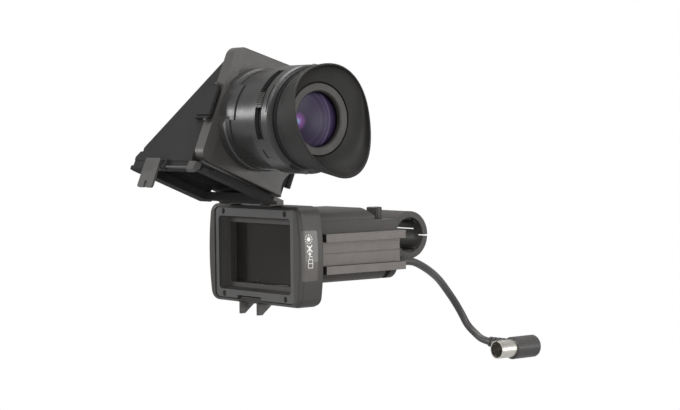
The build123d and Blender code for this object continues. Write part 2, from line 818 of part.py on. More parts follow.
# The round collar, flat on the latch side, and the room it takes up in the door
collar_end = door_x1 + collar_length
flat_cut = block(door_x0, ring_end_x, eye_y - 60, eye_y + 60, eye_z - 60, eye_z - collar_flat)
collar_room = bar(collar_radius, (door_x0, eye_y, eye_z), (ring_end_x, eye_y, eye_z)) - flat_cut


def eyepiece_door():
    relief_y = depth(door_relief_depth)
    tray = tray_outline(0, door_x0, door_x1, door_corner)
    tray = fillet(tray.faces().sort_by(Axis.X)[-1].edges(), 1.0)
    tray -= bar(door_relief_radius, (door_x0 - 1, relief_y, door_relief_z), (door_x1 + 1, relief_y, door_relief_z))
    low = -box_bottom
    bevel = slab_xz([(door_x1 - door_bevel, low - 1), (door_x1 - door_bevel, low), (door_x1, low + door_bevel_width),
                     (door_x1 + 1, low + door_bevel_width), (door_x1 + 1, low - 1)], depth(120), depth(0))
    tray -= bevel - collar_room
    hollow = tray_outline(door_wall, door_x0 - 1, door_x1 - door_wall, door_corner - door_wall)
    hollow -= bar(door_relief_radius + door_wall, (door_x0 - 2, relief_y, door_relief_z),
                  (door_x1 + 1, relief_y, door_relief_z))
    tray -= hollow
    tray -= bar(barrel_bore, (door_x0, eye_y, eye_z), (door_x1 + 1, eye_y, eye_z))
    d = door_knuckle_depths[1]
    gap = door_knuckle_length / 2
    y0 = depth(d + gap)
    y1 = depth(d - gap)
    arm = slab_xz([(door_x0, box_top - 1.0), (door_x0 + 6, box_top - 1.0), (door_hinge_x + 3.4, door_hinge_z + 1.6),
                   (door_hinge_x, door_hinge_z + 2.2), (door_hinge_x, door_hinge_z - 2.2),
                   (door_x0, door_hinge_z - 2.2)], y0, y1)
    eye = bar(door_knuckle_radius, (door_hinge_x, y0, door_hinge_z), (door_hinge_x, y1, door_hinge_z))
    tray += arm + eye
    tray -= bar(door_hinge_pin_radius + running_gap, (door_hinge_x, y0 - 1, door_hinge_z),
                (door_hinge_x, y1 + 1, door_hinge_z))
    return at_hood * tray


def sector(x0, x1, r0, r1, start, end):
    """Part of a ring about the eyepiece axis, from one angle to another with the hood open."""
    turn = hood_open_angle
    ring = tube(r1, r0, (x0, 0, 0), (x1, 0, 0))
    count = max(1, math.ceil((end - start) / 60))
    wedges = []
    for i in range(count):
        a = math.radians(start + turn + (end - start) * i / count)
        b = math.radians(start + turn + (end - start) * (i + 1) / count)
        mid = (a + b) / 2
        far = 2 * r1
        wedges.append(slab_yz([(0, 0), (far * math.cos(a), far * math.sin(a)),
                               (far * math.cos(mid), far * math.sin(mid)),
                               (far * math.cos(b), far * math.sin(b))], x0, x1))
    fan = wedges[0]
    for wedge in wedges[1:]:
        fan += wedge
    return Pos(0, eye_y, eye_z) * (ring & fan)


def eyepiece_barrel():
    step_end = collar_end + collar_step_length
    tube_part = turned([(door_x1, barrel_bore), (door_x1, collar_radius), (collar_end - 1, collar_radius),
                        (collar_end, collar_radius - 1), (collar_end, barrel_radius + 0.8),
                        (step_end, barrel_radius + 0.8), (step_end, barrel_radius),
                        (barrel_end_x - 3, barrel_radius), (barrel_end_x - 2.6, barrel_radius + 0.9),
                        (barrel_end_x, barrel_radius + 0.9), (barrel_end_x, ring_radius - 0.6),
                        (barrel_end_x + 0.6, ring_radius), (ring_end_x - 2.6, ring_radius),
                        (ring_end_x - 0.8, ring_radius - 0.8), (ring_end_x, ring_radius - 2.6),
                        (ring_end_x, end_tube_radius),
                        (end_tube_x, end_tube_radius), (end_tube_x, end_tube_bore),
                        (slot_x1 + 3, end_tube_bore), (slot_x1 + 3, ring_bore), (barrel_end_x, ring_bore),
                        (barrel_end_x, barrel_bore)], eye_y, eye_z)
    band = tube(50, barrel_radius, (door_x1 - 1, eye_y, eye_z), (step_end + 0.01, eye_y, eye_z))
    tube_part -= flat_cut & band
    flat_angle = 270 - hood_open_angle
    tube_part += sector(step_end + 0.5, step_end + 0.5 + collar_pad_length, barrel_radius - 0.5, barrel_radius + 0.9,
                        flat_angle - collar_pad_half_arc, flat_angle + collar_pad_half_arc)
    tube_part -= sector(slot_x0, slot_x1, ring_bore - 1, ring_radius + 1, slot_from, slot_to)
    tube_part -= sector(slot_x0, slot_x1, ring_radius - 0.5, ring_radius + 1, slot_to + 12, slot_to + 23)
    tube_part -= sector(slot_x1 + 4.6, slot_x1 + 5.6, ring_radius - 0.7, ring_radius + 1, groove_from, groove_to)
    tube_part += sector(ring_end_x - 5.5, ring_end_x - 3.0, ring_radius - 0.5, ring_radius + 0.8, 78, 84)
    tube_part += sector(ring_end_x - 1.4, ring_end_x - 0.2, ring_radius - 3.0, ring_radius + 0.5, 238, 262)
    return at_hood * tube_part


def diopter_ring():
    """The focus ring inside the barrel, with its ribbed finger tab standing in the slot."""
    ring = turned([(slot_x0 + 0.3, diopter_bore), (slot_x0 + 0.3, diopter_radius), (slot_x1 - 0.3, diopter_radius),
                   (slot_x1 - 0.3, diopter_bore)], eye_y, eye_z)
    half = lever_span / 2
    tab = sector(slot_x0 + 0.4, slot_x1 - 0.4, diopter_radius - 0.5, lever_radius - 0.6, lever_mid - half,
                 lever_mid + half)
    ring += tab
    for i in range(lever_ribs):
        a = lever_mid - half + lever_span * (i + 0.25) / lever_ribs
        ring += sector(slot_x0 + 0.4, slot_x1 - 0.4, lever_radius - 0.9, lever_radius, a,
                       a + 0.5 * lever_span / lever_ribs)
    return at_hood * ring


def lens_cell():
    cell = turned([(cell_x0, cell_radius - 4), (cell_x0, cell_radius), (cell_x1, cell_radius),
                   (cell_x1, lens_radius - cell_lip), (cell_x1 - cell_lip, lens_radius - cell_lip),
                   (cell_x1 - cell_lip, lens_radius + 0.02), (cell_seat_x, lens_radius + 0.02),
                   (cell_seat_x, cell_radius - 4)], eye_y, eye_z)
    return at_hood * cell


def eye_lens():
    """A thick glass with both faces bulging: a disc cut by two large balls."""
    x1 = cell_x1 - cell_lip - lens_edge_gap
    x0 = x1 - lens_edge
    inner = x0 - lens_bulge
    outer = x1 + lens_bulge_out
    disc = bar(lens_radius, (inner, 0, 0), (outer, 0, 0))
    for apex, rise, side in ((inner, lens_bulge, 1), (outer, lens_bulge_out, -1)):
        ball = (lens_radius ** 2 + rise ** 2) / (2 * rise)
        disc &= Pos(apex + side * ball, 0, 0) * Sphere(ball)
    return at_hood * (Pos(0, eye_y, eye_z) * disc)


def lens_annulus():
    ring = turned([(cell_x1, annulus_bore), (cell_x1, annulus_radius), (annulus_x1 - 0.5, annulus_radius),
                   (annulus_x1, annulus_radius - 0.5), (annulus_x1, annulus_bore + 0.9),
                   (annulus_x1 - 0.9, annulus_bore)], eye_y, eye_z)
    return at_hood * ring


def cup_ring():
    gap = running_gap
    ring = turned([(cup_base_x, end_tube_radius + gap), (cup_base_x, cup_ring_radius - 0.8),
                   (cup_base_x + 0.8, cup_ring_radius), (cup_base_x + 2.2, cup_ring_radius),
                   (cup_base_x + 2.8, cup_ring_radius - 1.2), (cup_base_x + 3.4, cup_ring_radius - 1.2),
                   (cup_base_x + 4.0, cup_ring_radius - 2.0), (cup_ring_end_x, cup_ring_radius - 2.0),
                   (cup_ring_end_x, end_tube_radius + gap)], eye_y, eye_z)
    return at_hood * ring


def cup_section(x, radius, lean):
    """A cut through the eyecup: round as seen along its axis, and leaning towards its full side."""
    a = math.radians(cup_tilt_direction + hood_open_angle)
    t = math.radians(lean)
    slope = Vector(math.sin(t), math.cos(t) * math.cos(a), math.cos(t) * math.sin(a))
    normal = Vector(math.cos(t), -math.sin(t) * math.cos(a), -math.sin(t) * math.sin(a))
    return Plane(origin=(x, eye_y, eye_z), x_dir=slope, z_dir=normal) * Ellipse(radius / math.cos(t), radius)


def eyecup():
    """A flared rubber cup whose rim leans, fuller towards one side."""
    wall = cup_ring_radius - 2.0
    base = cup_base_x + 4.0
    floor = cup_ring_end_x + 0.1
    outside = loft([cup_section(base, wall + 2.2, 0), cup_section(cup_neck_x, cup_neck_radius, cup_neck_tilt),
                    cup_section(cup_rim_x, cup_rim_radius, cup_tilt)])
    inside = loft([cup_section(floor, annulus_radius + 0.9, 0),
                   cup_section(cup_neck_x + 1.5, cup_neck_radius - cup_wall - 1.2, cup_neck_tilt),
                   cup_section(cup_rim_x + 0.5, cup_rim_radius - cup_wall + 0.2, cup_tilt)])
    seat = bar(wall + 0.02, (base - 1, eye_y, eye_z), (floor, eye_y, eye_z))
    return at_hood * (outside - inside - seat)


# Hood latch: a strap and a hook on one long rod along the free edge
latch_y = depth(latch_pivot_depth)
latch_z = -frame_bottom - latch_pivot_extra
fin_room = fin_thickness / 2 + body_gap
latch_ear_xs = (fin_x[0] - fin_room - 2.0, fin_x[1] + fin_room, latch_hook_x - latch_hook_width / 2 - 2.3)


def latch_strap_clip():
    x0 = latch_x - latch_width / 2
    x1 = latch_x + latch_width / 2
    outer = latch_z - latch_eye_radius + 0.6
    strap = block(x0, x1, depth(latch_lift), depth(-latch_reach), outer - latch_strap, outer)
    strap = fillet(strap.edges().filter_by(Axis.Z), 1.6)
    for a, b in ((x0, x0 + 4), (x1 - 4, x1)):
        strap += bar(latch_eye_radius, (a, latch_y, latch_z), (b, latch_y, latch_z))
        strap += block(a, b, latch_y - 1.6, latch_y + 1.6, outer - 0.1, latch_z)
    half = latch_nub / 2 + body_gap
    strap -= block(latch_x - half, latch_x + half, latch_nub_y0 - hinge_y - body_gap, depth(-latch_reach) + 1,
                   outer - 8, outer + 8)
    strap -= bar(latch_rod_radius + 0.01, (x0 - 1, latch_y, latch_z), (x1 + 1, latch_y, latch_z))
    return at_hood * strap


def latch_hook():
    x0 = latch_hook_x - latch_hook_width / 2
    x1 = latch_hook_x + latch_hook_width / 2
    hook = slab_yz([(latch_y - 3.5, latch_z + 2.0), (latch_y - 3.5, latch_z - 3.0), (latch_y + 2.5, latch_z - 3.6),
                    (latch_y + 4.0, latch_z - 1.6), (latch_y + 0.5, latch_z + 1.6)], x0, x1)
    hook -= bar(latch_rod_radius + 0.01, (x0 - 1, latch_y, latch_z), (x1 + 1, latch_y, latch_z))
    return at_hood * hook


def latch_rod():
    x0 = min(latch_ear_xs) - 0.8
    x1 = latch_hook_x + latch_hook_width / 2
    return at_hood * bar(latch_rod_radius, (x0, latch_y, latch_z), (x1, latch_y, latch_z))


def latch_bracket():
    """Three ears on the free edge of the frame that carry the latch rod."""
    ears = []
    for x in latch_ear_xs:
        ear = block(x, x + 2.0, depth(frame_thickness), latch_y, latch_z - 1.0, -frame_bottom)
        ear += bar(latch_eye_radius - 0.4, (x, latch_y, latch_z), (x + 2.0, latch_y, latch_z))
        ear -= bar(latch_rod_radius + running_gap, (x - 1, latch_y, latch_z), (x + 3, latch_y, latch_z))
        ears.append(at_hood * ear)
    return Compound(ears)


def grip_strip():
    """A ribbed strip along the operator's edge of the frame."""
    x0 = door_x1 - 1.5
    y0 = depth(frame_flange + 1.6)
    strip = block(x0, frame_half_width - 0.6, y0, depth(frame_flange), -frame_bottom + 12, -frame_top - 6)
    count = 14
    for i in range(count):
        z = -frame_bottom + 20 + 1.7 * i
        strip -= block(x0 + 1.2, frame_half_width, y0 - 1, y0 + 0.7, z, z + 0.8)
    return at_hood * strip


# Door latch
def door_clip():
    plate = block(clip_pivot_x - 11, clip_pivot_x + 4, clip_y0 + 2, clip_y1 - 2, clip_z - clip_thickness, clip_z)
    plate = fillet(plate.edges().filter_by(Axis.Y).group_by(Axis.Z)[0], 0.9)
    for y in clip_arm_ys:
        plate += block(clip_pivot_x - clip_reach, clip_pivot_x + 3, y, y + clip_arm_width, clip_z - 1.2, clip_z + 0.6)
        plate += block(clip_pivot_x - clip_reach, clip_hook_x, y, y + clip_arm_width, clip_z - 1.2,
                       -box_bottom - body_gap)
    plate -= bar(clip_pin_radius + running_gap, (clip_pivot_x, clip_y0 - 1, clip_z - 0.2),
                 (clip_pivot_x, clip_y1 + 1, clip_z - 0.2))
    return at_hood * plate


def door_clip_pin():
    y0 = clip_y0 - 2
    y1 = clip_y1 + 2
    pin = bar(clip_pin_radius, (clip_pivot_x, y0, clip_z - 0.2), (clip_pivot_x, y1, clip_z - 0.2))
    for y in (y0, y1 - 1.7):
        pin += block(clip_pivot_x - 1.6, clip_pivot_x + 1.6, y, y + 1.7, clip_z - 1.6, -box_bottom)
    return at_hood * pin


# Microphone holder: a split ring, its lower half on the arm, its upper half on a pin
mic_x0 = mic_x1 - mic_length


def mic_ring():
    return tube(mic_outer, mic_inner, (mic_x0, mic_y, mic_z), (mic_x1, mic_y, mic_z))


def mic_side(sign):
    """The room above (+1) or below (-1) the stepped split of the ring."""
    far = 40.0
    g = sign * mic_gap / 2
    regions = []
    for x0, x1, y0, y1, z in ((mic_x0 - 1, mic_x1 + 1, mic_y - far, mic_y, mic_slit_near),
                              (mic_x0 - 1, mic_step_x - max(g, 0) * 1.0, mic_y, mic_y + far, mic_slit_step_high),
                              (mic_step_x - min(g, 0) * -1.0, mic_x1 + 1, mic_y, mic_y + far, mic_slit_step_low)):
        regions.append(block(x0, x1, y0, y1, z + g, z + g + sign * far))
    room = regions[0]
    for region in regions[1:]:
        room += region
    return room


def mic_pad(middle):
    """A rubber liner with three ribs along the microphone."""
    rib_ring = tube(mic_inner, mic_grip, (mic_x0 + 2, 0, 0), (mic_x1 - 2, 0, 0))
    a = math.radians(middle - mic_pad_half_arc)
    b = math.radians(middle + mic_pad_half_arc)
    far = 60
    fan = slab_yz([(0, 0), (far * math.cos(a), far * math.sin(a)), (far * math.cos(b), far * math.sin(b))],
                  mic_x0 + 2, mic_x1 - 2)
    pad = rib_ring & fan
    for i in (-1, 1):
        c = math.radians(middle + i * mic_pad_half_arc / 2)
        pad -= bar(1.3, (mic_x0, (mic_grip + 0.1) * math.cos(c), (mic_grip + 0.1) * math.sin(c)),
                   (mic_x1, (mic_grip + 0.1) * math.cos(c), (mic_grip + 0.1) * math.sin(c)))
    return Pos(0, mic_y, mic_z) * pad


def mic_knuckle(x0, x1):
    return bar(mic_knuckle_radius, (x0, mic_hinge_y, mic_hinge_z), (x1, mic_hinge_y, mic_hinge_z))


lower_knuckles = ((mic_x0, mic_x0 + mic_knuckle_length), (mic_x1 - mic_knuckle_length, mic_x1))
upper_knuckle = (mic_x0 + mic_knuckle_length + body_gap, mic_x1 - mic_knuckle_length - body_gap)
bore_cut = bar(mic_inner, (mic_x0 - 1, mic_y, mic_z), (mic_x1 + 1, mic_y, mic_z))
ring_cut = bar(mic_outer + body_gap, (mic_x0 - 1, mic_y, mic_z), (mic_x1 + 1, mic_y, mic_z))


def mic_holder_lower():
    half = mic_ring() & mic_side(-1)
    neck = block(mic_x0 + 3, mic_x1 - 3, arm_y1, mic_y - 6, -4, mic_slit_near - mic_gap / 2) - bore_cut
    half += neck
    for x0, x1 in lower_knuckles:
        post = block(x0, x1, mic_hinge_y - mic_knuckle_radius, mic_hinge_y + mic_knuckle_radius,
                     mic_slit_near - 6, mic_hinge_z)
        half += post - bore_cut + mic_knuckle(x0, x1)
    half -= bar(mic_pin_radius + 0.01, (mic_x0 - 1, mic_hinge_y, mic_hinge_z), (mic_x1 + 1, mic_hinge_y, mic_hinge_z))
    x0, x1 = upper_knuckle
    half -= bar(mic_knuckle_radius + body_gap, (x0 - body_gap, mic_hinge_y, mic_hinge_z),
                (x1 + body_gap, mic_hinge_y, mic_hinge_z))
    return half


def mic_holder_upper():
    half = mic_ring() & mic_side(1)
    x0, x1 = upper_knuckle
    bridge = block(x0, x1, mic_hinge_y, mic_y - 12, mic_hinge_z - 1.2, mic_hinge_z + mic_knuckle_radius) - bore_cut
    half += mic_knuckle(x0, x1) + bridge
    room = mic_knuckle_radius + body_gap
    for a, b in lower_knuckles:
        half -= bar(room, (a - 1, mic_hinge_y, mic_hinge_z), (b + body_gap, mic_hinge_y, mic_hinge_z))
        half -= block(a - body_gap, b + body_gap, mic_hinge_y - room, mic_hinge_y + room, mic_z, mic_hinge_z)
    half -= bar(mic_pin_radius + running_gap, (mic_x0 - 1, mic_hinge_y, mic_hinge_z),
                (mic_x1 + 1, mic_hinge_y, mic_hinge_z))
    return half


def mic_pin():
    return bar(mic_pin_radius, (mic_x0, mic_hinge_y, mic_hinge_z), (mic_x1, mic_hinge_y, mic_hinge_z))


# Lead
def cable_gland():
    y0 = arm_y1
    y1 = cord_route[0][1]
    step = (y1 - y0 - 3) / gland_ribs
    gland = bar(gland_base_radius, (gland_x, y0, gland_z), (gland_x, y0 + 3, gland_z))
    gland += bar(gland_neck_radius, (gland_x, y0, gland_z), (gland_x, y1, gland_z))
    for i in range(gland_ribs):
        y = y0 + 3 + step * i + 0.5
        gland += bar(gland_rib_radius, (gland_x, y, gland_z), (gland_x, y + step * 0.55, gland_z))
    return gland


def lead():
    """The free lead: straight runs joined by arcs as large as the runs allow."""
    points = [Vector(*p) for p in cord_route]
    radii = []
    for a, b, c in zip(points, points[1:], points[2:]):
        turn = math.radians((b - a).get_angle(c - b))
        radii.append(0.45 * min((b - a).length, (c - b).length) / math.tan(turn / 2))
    print("lead radii", [round(r, 1) for r in radii])
    path = FilletPolyline(*cord_route, radius=radii)
    start = Plane(origin=points[0], z_dir=(points[1] - points[0]).normalized())
    solid = sweep(start * Circle(cord_diameter / 2), path=path)
    ideal = math.pi * cord_diameter ** 2 / 4 * path.length
    print("lead length", round(path.length, 1), "volume ratio", round(solid.volume / ideal, 4))
    return solid


def plug_boot():
    """A ribbed boot from the end of the lead to the side of the plug."""
    tip = Vector(*cord_route[-1])
    reach = Vector(plug_x, boot_y, plug_z) - tip
    x1 = reach.length - plug_body_radius + 2.0
    profile = [(0, 0), (0, boot_tip_radius)]
    step = x1 / boot_ribs
    for i in range(boot_ribs):
        r = boot_tip_radius + (boot_root_radius - boot_tip_radius) * i / (boot_ribs - 1)
        a = step * i
        profile += [(a + 0.05, r), (a + step * 0.6, r), (a + step * 0.65, r - 0.8), (a + step * 0.95, r - 0.8)]
    profile += [(x1, boot_root_radius - 0.8), (x1, 0)]
    along = Plane(origin=tip, x_dir=reach.normalized(), z_dir=(0, 1, 0))
    return along * turned(profile, 0, 0) - bar(plug_body_radius + 0.02, (plug_x, plug_front, plug_z),
                                               (plug_x, plug_front + 60, plug_z))


body_y0 = plug_front + plug_shell_length


def plug_body():
    body = bar(plug_body_radius, (plug_x, body_y0, plug_z), (plug_x, body_y0 + plug_body_length, plug_z))
    body = fillet(body.faces().sort_by(Axis.Y)[-1].edges(), 2.0)
    nub = bar(plug_nub_radius, (plug_x, body_y0 + plug_body_length - 1, plug_z),
              (plug_x, body_y0 + plug_body_length + plug_nub_length, plug_z))
    return body + nub


def plug_shell():
    ring = tube(shell_radius, shell_bore, (plug_x, plug_front, plug_z), (plug_x, body_y0, plug_z))
    key = block(plug_x - 0.9, plug_x + 0.9, plug_front - 1, plug_front + 6, plug_z + shell_bore - 0.5,
                plug_z + shell_radius + 1)
    return ring - key


def plug_insert():
    y = body_y0
    insert = bar(shell_bore - 0.02, (plug_x, y - plug_insert_depth, plug_z), (plug_x, y, plug_z))
    for i in range(plug_pins):
        a = 2 * math.pi * i / plug_pins
        x = plug_x + plug_pin_ring * math.cos(a)
        z = plug_z + plug_pin_ring * math.sin(a)
        insert += bar(plug_pin_radius, (x, y - 1, z), (x, y - plug_insert_depth - plug_pin_length, z))
    return insert


nodes = {
    "shoe_rail": shoe_rail, "arm_housing": arm_housing, "arm_cover": arm_cover, "control_panel": control_panel,
    "lock_knob": deck_knob, "arm_screws": arm_screws, "tilt_bush": tilt_bush, "tilt_shaft": tilt_shaft,
    "tilt_ring": tilt_ring, "head_shell": head_shell, "indicator_window": indicator_window,
    "tally_lens": tally_lens, "rear_cover": rear_cover, "face_plate": face_plate, "face_screws": face_screws,
    "screen_bezel": screen_bezel, "screen_glass": screen_glass, "display_module": display_module,
    "driver_board": driver_board, "latch_keeper": latch_keeper, "hinge_blocks": hinge_blocks,
    "hood_pin": hood_pin, "hood_frame": hood_frame, "mirror_box": mirror_box, "mirror": mirror,
    "door_pin": door_pin, "eyepiece_door": eyepiece_door, "eyepiece_barrel": eyepiece_barrel,
    "diopter_ring": diopter_ring, "lens_cell": lens_cell, "eye_lens": eye_lens, "lens_annulus": lens_annulus,
    "eyecup_ring": cup_ring, "eyecup": eyecup, "latch_strap": latch_strap_clip, "latch_hook": latch_hook,
    "latch_rod": latch_rod, "latch_bracket": latch_bracket, "grip_strip": grip_strip, "door_clip": door_clip,
    "door_clip_pin": door_clip_pin, "mic_holder_lower": mic_holder_lower, "mic_holder_upper": mic_holder_upper,
    "mic_pin": mic_pin, "cable_gland": cable_gland, "lead": lead, "plug_boot": plug_boot,
    "plug_body": plug_body, "plug_shell": plug_shell, "plug_insert": plug_insert,
}
for node, make in nodes.items():
    save(node, make())
for name, y in zip(("brightness_knob", "contrast_knob", "peaking_knob"), control_ys):
    save(name, control_knob(y))
for name, y in zip(("display_switch", "tally_switch"), switch_ys):
    save(name, side_switch(y))
save("mic_pad_upper", mic_pad(90))
save("mic_pad_lower", mic_pad(270))
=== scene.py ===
import math

import bpy
import numpy as np
from mathutils import Matrix, Vector


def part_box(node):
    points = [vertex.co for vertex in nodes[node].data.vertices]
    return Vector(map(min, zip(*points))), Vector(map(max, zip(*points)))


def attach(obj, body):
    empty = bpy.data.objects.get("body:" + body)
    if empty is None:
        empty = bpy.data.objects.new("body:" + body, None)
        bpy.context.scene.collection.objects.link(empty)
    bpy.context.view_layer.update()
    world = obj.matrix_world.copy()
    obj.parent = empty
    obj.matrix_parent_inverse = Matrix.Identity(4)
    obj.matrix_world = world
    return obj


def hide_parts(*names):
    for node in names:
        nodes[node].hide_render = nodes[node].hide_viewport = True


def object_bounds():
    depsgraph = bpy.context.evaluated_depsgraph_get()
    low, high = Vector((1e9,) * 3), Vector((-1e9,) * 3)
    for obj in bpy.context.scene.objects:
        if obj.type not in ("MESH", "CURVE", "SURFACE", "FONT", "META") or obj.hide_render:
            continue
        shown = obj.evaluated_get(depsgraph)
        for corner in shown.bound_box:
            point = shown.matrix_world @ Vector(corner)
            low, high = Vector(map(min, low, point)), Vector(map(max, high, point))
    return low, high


# Camera viewfinder: dark moulded plastics, a rubber eyecup, a coated lens, a dark rail and a nickel plug.
# Metres. +X towards the operator, +Y along the shoe rail, +Z up.
# The dictionaries of pieces and finishes are in millimetres, those of the studio in metres.

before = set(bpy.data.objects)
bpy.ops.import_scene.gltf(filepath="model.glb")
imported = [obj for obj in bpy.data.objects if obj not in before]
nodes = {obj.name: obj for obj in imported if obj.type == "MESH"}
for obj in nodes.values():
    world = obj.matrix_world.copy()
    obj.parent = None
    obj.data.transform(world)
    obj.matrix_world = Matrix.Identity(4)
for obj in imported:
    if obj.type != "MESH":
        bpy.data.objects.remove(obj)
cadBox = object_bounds()
mm = 0.001
print("frame loaded:", len(nodes), "nodes")


def middle(node):
    low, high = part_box(node)
    return (low + high) / 2


# camera
camera = {
    "azimuth": 51.43,      # degrees round from the front, towards the operator
    "pitch": 2.56,         # degrees down
    "roll": -0.65,
    "place": (1.04772, -0.85972, 0.09459),
    "lens": 100.225,       # lens and sensor in millimetres
    "sensor": 36.0,
    "clip": 60,            # metres
}


def addCamera(look):
    az, el, roll = (math.radians(look[k]) for k in ("azimuth", "pitch", "roll"))
    ahead = Vector((-math.sin(az) * math.cos(el), math.cos(az) * math.cos(el), -math.sin(el)))
    level = Vector((math.cos(az), math.sin(az), 0))
    upright = level.cross(ahead)
    right = level * math.cos(roll) + upright * math.sin(roll)
    up = upright * math.cos(roll) - level * math.sin(roll)
    data = bpy.data.cameras.new("camera")
    data.lens = look["lens"]
    data.sensor_width = look["sensor"]
    data.clip_end = look["clip"]
    eye = bpy.data.objects.new("camera", data)
    turn = Matrix((right, up, -ahead)).transposed()
    eye.matrix_world = Matrix.Translation(look["place"]) @ turn.to_4x4()
    bpy.context.scene.collection.objects.link(eye)
    bpy.context.scene.camera = eye


addCamera(camera)


# shader maths
class Wire:
    # a socket of a node tree; +, - and * on it add Math nodes, and node() adds any other kind
    def __init__(self, tree, socket=None):
        self.tree = tree
        self.socket = socket

    def node(self, kind, settings=None, inputs=None, out=0):
        made = self.tree.nodes.new(kind)
        for name, value in (settings or {}).items():
            if name == "stops":
                marks = made.color_ramp.elements
                while len(marks) < len(value):
                    marks.new(0.5)
                for mark, (at, tone) in zip(marks, value):
                    mark.position = at
                    mark.color = (tone, tone, tone, 1)
            else:
                setattr(made, name, value)
        for name, value in (inputs or {}).items():
            if isinstance(value, Wire):
                self.tree.links.new(value.socket, made.inputs[name])
            else:
                made.inputs[name].default_value = value
        return Wire(self.tree, made.outputs[out])

    def maths(self, operation, *values):
        return self.node("ShaderNodeMath", {"operation": operation}, dict(enumerate(values)))

    def __add__(self, other):
        return self.maths("ADD", self, other)

    def __radd__(self, other):
        return self.maths("ADD", other, self)

    def __sub__(self, other):
        return self.maths("SUBTRACT", self, other)

    def __mul__(self, other):
        return self.maths("MULTIPLY", self, other)

    def steps(self, *stops):
        return self.node("ShaderNodeValToRGB", {"stops": stops}, {"Fac": self})

    def blend(self, first, second):
        # colour: first where this is 0, second where it is 1; sockets 6, 7 and 2 carry colour
        pick = {0: self, 6: first, 7: second}
        return self.node("ShaderNodeMix", {"data_type": "RGBA"}, pick, out=2)


def linear(level):
    # screen level 0-255 to the linear level that a shader takes
    share = level / 255
    return share / 12.92 if share < 0.0404 else ((share + 0.055) / 1.055) ** 2.4


def rgb(*levels):
    return tuple(map(linear, levels)) + (1,)


def newMaterial(name):
    material = bpy.data.materials.new(name)
    material.use_nodes = True
    tree = material.node_tree
    tree.nodes.clear()
    return material, Wire(tree)


def finish(material, wire, **sockets):
    tree = wire.tree
    shader = tree.nodes.new("ShaderNodeBsdfPrincipled")
    for name, value in sockets.items():
        name = name.replace("_", " ")
        if isinstance(value, Wire):
            tree.links.new(value.socket, shader.inputs[name])
        else:
            shader.inputs[name].default_value = value
    end = tree.nodes.new("ShaderNodeOutputMaterial")
    tree.links.new(shader.outputs[0], end.inputs["Surface"])
    return material


def place(wire, stretch=(1, 1, 1)):
    # object coordinates in millimetres, stretched by axis
    raw = wire.node("ShaderNodeTexCoord", out=3)
    return wire.node("ShaderNodeMapping", {}, {"Vector": raw, "Scale": tuple(s / mm for s in stretch)})


def noise(wire, where, scale, detail=2.0, rough=0.5):
    values = {"Vector": where, "Scale": scale, "Detail": detail, "Roughness": rough}
    return wire.node("ShaderNodeTexNoise", {}, values)


def bumped(wire, height, strength, distance):
    values = {"Height": height, "Strength": strength, "Distance": distance * mm}
    return wire.node("ShaderNodeBump", {}, values)


# plastics
mouldedGrain = {
    "blotch": 0.035,       # scales of the noises, per millimetre
    "rub": 0.12,
    "rubRamp": ((0.42, 0.0), (0.72, 1.0)),
    "blotchShare": 0.6,    # of the tone; the grain has the rest
    "roughSpread": 0.16,
    "rubSheen": 0.07,
    "bumpDepth": 0.12,
}
plastics = {
    "housing": {"dark": (54, 52, 50), "light": (70, 67, 64), "grain": 0.55,
                "rough": 0.47, "bump": 0.45, "shine": 0.35},
    "head": {"dark": (54, 52, 51), "light": (70, 67, 65), "grain": 0.6,
             "rough": 0.44, "bump": 0.4, "shine": 0.4},
    "facePlate": {"dark": (68, 68, 67), "light": (82, 82, 81), "grain": 0.5,
                  "rough": 0.46, "bump": 0.35, "shine": 0.5},
    "bezel": {"dark": (60, 57, 56), "light": (74, 71, 70), "grain": 0.5,
              "rough": 0.55, "bump": 0.3, "shine": 0.5},
    "hood": {"dark": (38, 38, 38), "light": (50, 50, 50), "grain": 0.7,
             "rough": 0.75, "bump": 0.4, "shine": 0.12},
    "door": {"dark": (60, 58, 57), "light": (74, 71, 69), "grain": 0.6,
             "rough": 0.42, "bump": 0.35, "shine": 0.5},
    "barrel": {"dark": (42, 41, 41), "light": (56, 55, 54), "grain": 0.5,
               "rough": 0.33, "bump": 0.2, "shine": 0.5},
    # near black: the ring's and lens cell's own black, with painted shade of the hollow under and inside the
    # eyecup
    "cupBandBlackAndShade": {"dark": (8, 8, 8), "light": (14, 13, 13), "grain": 0.5,
                "rough": 0.5, "bump": 0.25, "shine": 0.4},
    "lensRing": {"dark": (50, 47, 45), "light": (64, 61, 58), "grain": 0.5,
                 "rough": 0.52, "bump": 0.3, "shine": 0.5},
    "knob": {"dark": (30, 30, 30), "light": (44, 44, 44), "grain": 0.4,
             "rough": 0.4, "bump": 0.3, "shine": 0.5},
}


def moulded(name, look, shared):
    # moulded plastic: pebbled grain, faint blotches in tone, handling sheen in broad patches
    material, wire = newMaterial(name)
    at = place(wire)
    grain = noise(wire, at, 1 / look["grain"], detail=3.0, rough=0.65)
    blotch = noise(wire, at, shared["blotch"])
    rubbed = noise(wire, at, shared["rub"], detail=4.0, rough=0.7).steps(*shared["rubRamp"])
    mixed = blotch * shared["blotchShare"] + grain * (1 - shared["blotchShare"])
    rough = look["rough"] + (grain - 0.5) * shared["roughSpread"] - rubbed * shared["rubSheen"]
    return finish(material, wire, Base_Color=mixed.blend(rgb(*look["dark"]), rgb(*look["light"])),
                  Roughness=rough, Normal=bumped(wire, grain, look["bump"], shared["bumpDepth"]),
                  Specular_IOR_Level=look["shine"])


plastic = {name: moulded(name, look, mouldedGrain) for name, look in plastics.items()}


